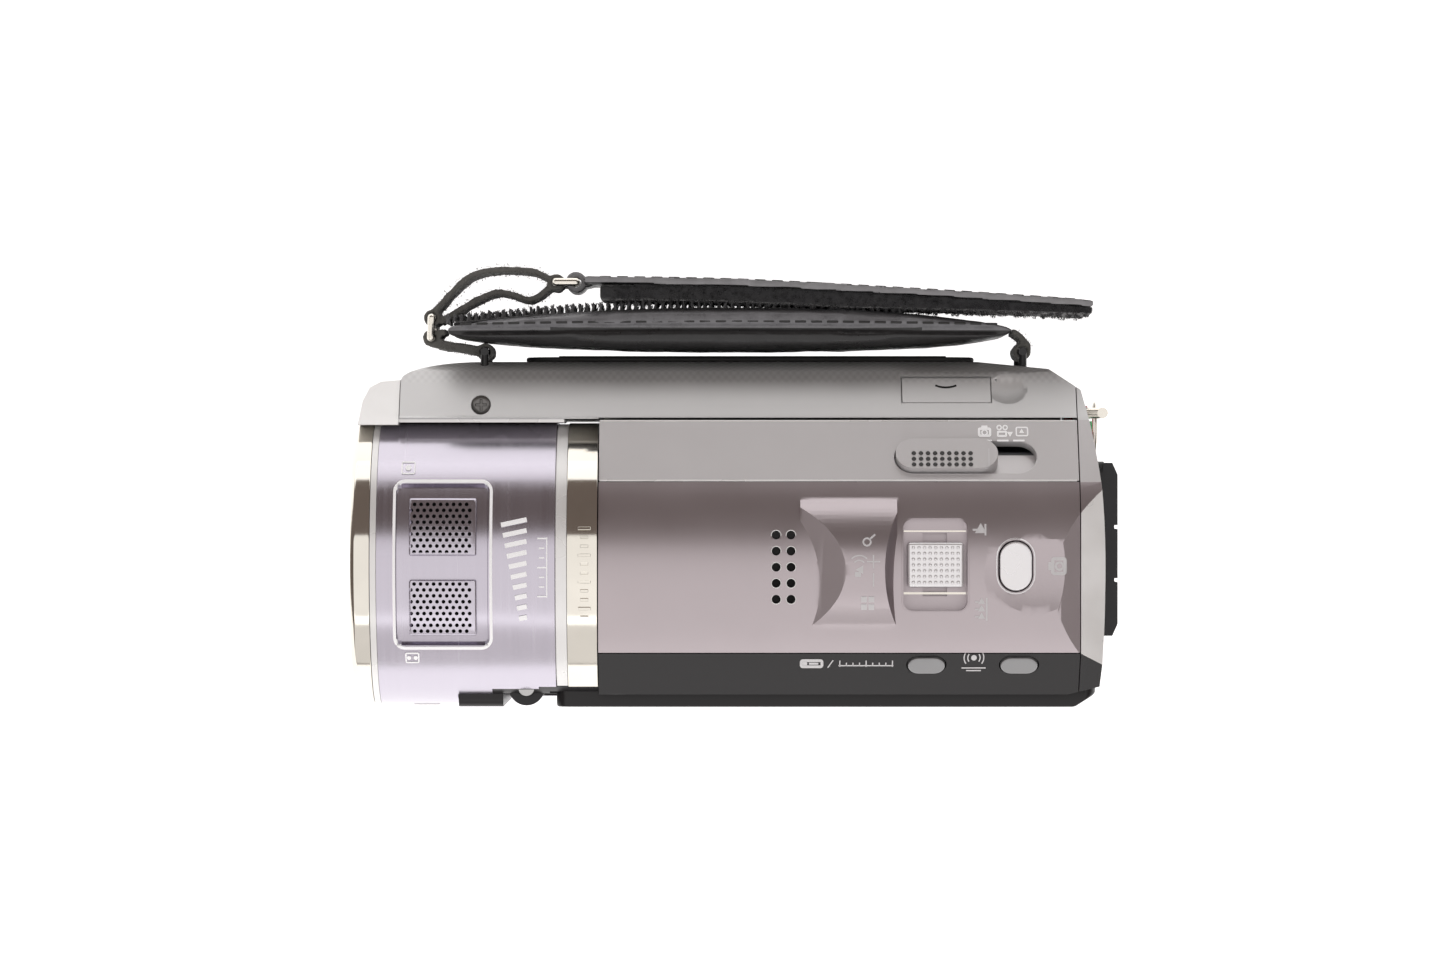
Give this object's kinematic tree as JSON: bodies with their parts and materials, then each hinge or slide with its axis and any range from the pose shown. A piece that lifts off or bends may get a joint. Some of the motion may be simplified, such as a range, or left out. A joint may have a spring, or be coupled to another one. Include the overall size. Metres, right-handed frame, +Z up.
{
  "type": "camcorder",
  "caption": "Compact camcorder with a round lens barrel, side-opening LCD panel, slide-out battery, top zoom rocker and a padded hand strap.",
  "frame": {"origin": "mouth of the tripod socket, on the flat underside", "axes": "+X to the rear (battery), -X to the lens, +Y to the hand strap side, -Y to the LCD side, +Z up"},
  "size_m": [0.115, 0.0667, 0.0641],
  "materials": {
    "magnesium_frame": "matt cast",
    "charcoal_plastic": "fine spark texture",
    "grip_plastic": "satin moulded with a fine diagonal weave",
    "slope_plastic": "satin painted",
    "mauve_metallic": "satin metallic paint",
    "strip_plastic": "satin",
    "lavender_aluminium": "brushed round the barrel, tinted lavender",
    "warm_chrome": "polished, warm",
    "silver_paint": "satin silver",
    "silver_knob": "satin silver with a dot relief",
    "black_plastic": "matt",
    "lens_glass": "coated",
    "steel": "ground",
    "brass_bush": "nickel plated",
    "board_green": "solder mask",
    "gold_contact": "gold plated",
    "rubber_grip": "soft matt",
    "strap_leather": "grained black",
    "strap_webbing": "woven nylon",
    "hook_and_loop": "hooks and loop pile",
    "screen_glass": "gloss panel",
    "lamp_green": "translucent lamp",
    "record_red": "gloss",
    "button_grey": "satin"
  },
  "bodies": {
    "camera_body": {"chassis_frame": "magnesium_frame", "base_cover": "charcoal_plastic", "tripod_bush": "brass_bush", "grip_side_shell": "grip_plastic", "left_side_shell": "slope_plastic", "top_cover": "mauve_metallic", "mode_switch_trim": "strip_plastic", "rear_cover": "silver_paint", "chrome_band": "warm_chrome", "barrel_sleeve": "silver_paint", "barrel_cover": "lavender_aluminium", "lens_bezel": "warm_chrome", "lens_hood": "black_plastic", "front_lens": "lens_glass", "lens_housing": "black_plastic", "lens_guide_rods": "steel", "lens_motors": "steel", "image_sensor": "board_green", "mic_tray": "lavender_aluminium", "mic_grilles": "lavender_aluminium", "mic_capsules": "steel", "speaker": "black_plastic", "circuit_boards": "board_green", "battery_terminals": "gold_contact", "dc_jack": "black_plastic", "av_ports": "steel", "card_socket": "steel", "grip_pad": "rubber_grip", "case_screws": "steel", "status_lamp": "lamp_green", "strap_anchors": "warm_chrome", "strap_pad": "strap_leather", "strap_hook_strip": "hook_and_loop", "strap_flap": "strap_leather", "strap_loop_pile": "hook_and_loop", "strap_rings": "warm_chrome", "strap_end_webs": "strap_webbing", "strap_doubled_web": "strap_webbing", "lcd_hinge_pin": "steel"},
    "lcd_panel": {"lcd_back_cover": "slope_plastic", "lcd_bezel": "black_plastic", "lcd_screen": "screen_glass", "lcd_hinge_block": "silver_paint"},
    "mode_switch": {"mode_switch_knob": "strip_plastic"},
    "zoom_rocker": {"zoom_knob": "silver_knob"},
    "photo_key": {"photo_button": "silver_knob"},
    "auto_key": {"auto_button": "button_grey"},
    "stabiliser_key": {"stabiliser_button": "button_grey"},
    "record_key": {"record_button": "record_red"},
    "power_key": {"power_button": "silver_knob"},
    "jack_flap": {"jack_cover": "grip_plastic"},
    "card_flap": {"card_door": "charcoal_plastic"},
    "latch": {"battery_latch": "black_plastic"},
    "battery": {"battery_pack": "charcoal_plastic"},
    "lens_lever": {"cover_lever": "silver_paint"},
    "upper_blade": {"upper_cover_blade": "black_plastic"},
    "lower_blade": {"lower_cover_blade": "black_plastic"},
    "zoom_carriage": {"zoom_group": "black_plastic"},
    "zoom_spindle": {"zoom_screw": "steel"},
    "focus_carriage": {"focus_group": "black_plastic"}
  },
  "joints": [
    {"name": "lcd_open", "type": "hinge", "parent": "camera_body", "child": "lcd_panel", "pos_m": [-0.0315, -0.0231, 0.026], "axis": [0, 0, -1], "range_deg": [0, 90]},
    {"name": "mode_slide", "type": "slide", "parent": "camera_body", "child": "mode_switch", "axis": [1, 0, 0], "range_m": [0, 0.005]},
    {"name": "zoom_slide", "type": "slide", "parent": "camera_body", "child": "zoom_rocker", "axis": [0, 1, 0], "range_m": [-0.0032, 0.0032], "stiffness_N_per_m": 200},
    {"name": "photo_press", "type": "slide", "parent": "camera_body", "child": "photo_key", "axis": [0, 0, -1], "range_m": [0, 0.0006], "stiffness_N_per_m": 300},
    {"name": "auto_press", "type": "slide", "parent": "camera_body", "child": "auto_key", "axis": [0, 0.7071, -0.7071], "range_m": [0, 0.0006], "stiffness_N_per_m": 300},
    {"name": "stabiliser_press", "type": "slide", "parent": "camera_body", "child": "stabiliser_key", "axis": [0, 0.7071, -0.7071], "range_m": [0, 0.0006], "stiffness_N_per_m": 300},
    {"name": "record_press", "type": "slide", "parent": "camera_body", "child": "record_key", "axis": [-1, 0, 0], "range_m": [0, 0.0006], "stiffness_N_per_m": 300},
    {"name": "power_press", "type": "slide", "parent": "camera_body", "child": "power_key", "axis": [0, 1, 0], "range_m": [0, 0.0006], "stiffness_N_per_m": 300},
    {"name": "jack_flap_open", "type": "hinge", "parent": "camera_body", "child": "jack_flap", "pos_m": [0.03165, 0.02308, 0.04458], "axis": [-1, 0, 0], "range_deg": [0, 90]},
    {"name": "card_door_open", "type": "hinge", "parent": "camera_body", "child": "card_flap", "pos_m": [-0.0058, -0.0141, 0.00115], "axis": [-1, 0, 0], "range_deg": [0, 90]},
    {"name": "latch_slide", "type": "slide", "parent": "camera_body", "child": "latch", "axis": [0, 1, 0], "range_m": [0, 0.003], "stiffness_N_per_m": 150},
    {"name": "battery_out", "type": "slide", "parent": "camera_body", "child": "battery", "axis": [1, 0, 0], "range_m": [0, 0.042]},
    {"name": "cover_lever_slide", "type": "slide", "parent": "camera_body", "child": "lens_lever", "axis": [0, 0, -1], "range_m": [0, 0.006]},
    {"name": "upper_blade_slide", "type": "slide", "parent": "camera_body", "child": "upper_blade", "axis": [0, 0, -1], "range_m": [0, 0.00895]},
    {"name": "lower_blade_slide", "type": "slide", "parent": "camera_body", "child": "lower_blade", "axis": [0, 0, 1], "range_m": [0, 0.00895]},
    {"name": "zoom_group_slide", "type": "slide", "parent": "camera_body", "child": "zoom_carriage", "axis": [1, 0, 0], "range_m": [0, 0.014]},
    {"name": "zoom_screw_spin", "type": "hinge", "parent": "camera_body", "child": "zoom_spindle", "pos_m": [-0.03, -0.0045, 0.051], "axis": [1, 0, 0], "range_deg": [0, 2520]},
    {"name": "focus_group_slide", "type": "slide", "parent": "camera_body", "child": "focus_carriage", "axis": [1, 0, 0], "range_m": [-0.002, 0.005]}
  ],
  "couplings": [
    {"joint": "upper_blade_slide", "follows": "cover_lever_slide", "ratio": 1.49},
    {"joint": "lower_blade_slide", "follows": "cover_lever_slide", "ratio": 1.49},
    {"joint": "zoom_screw_spin", "follows": "zoom_group_slide", "rad_per_m": 3141.6}
  ]
}
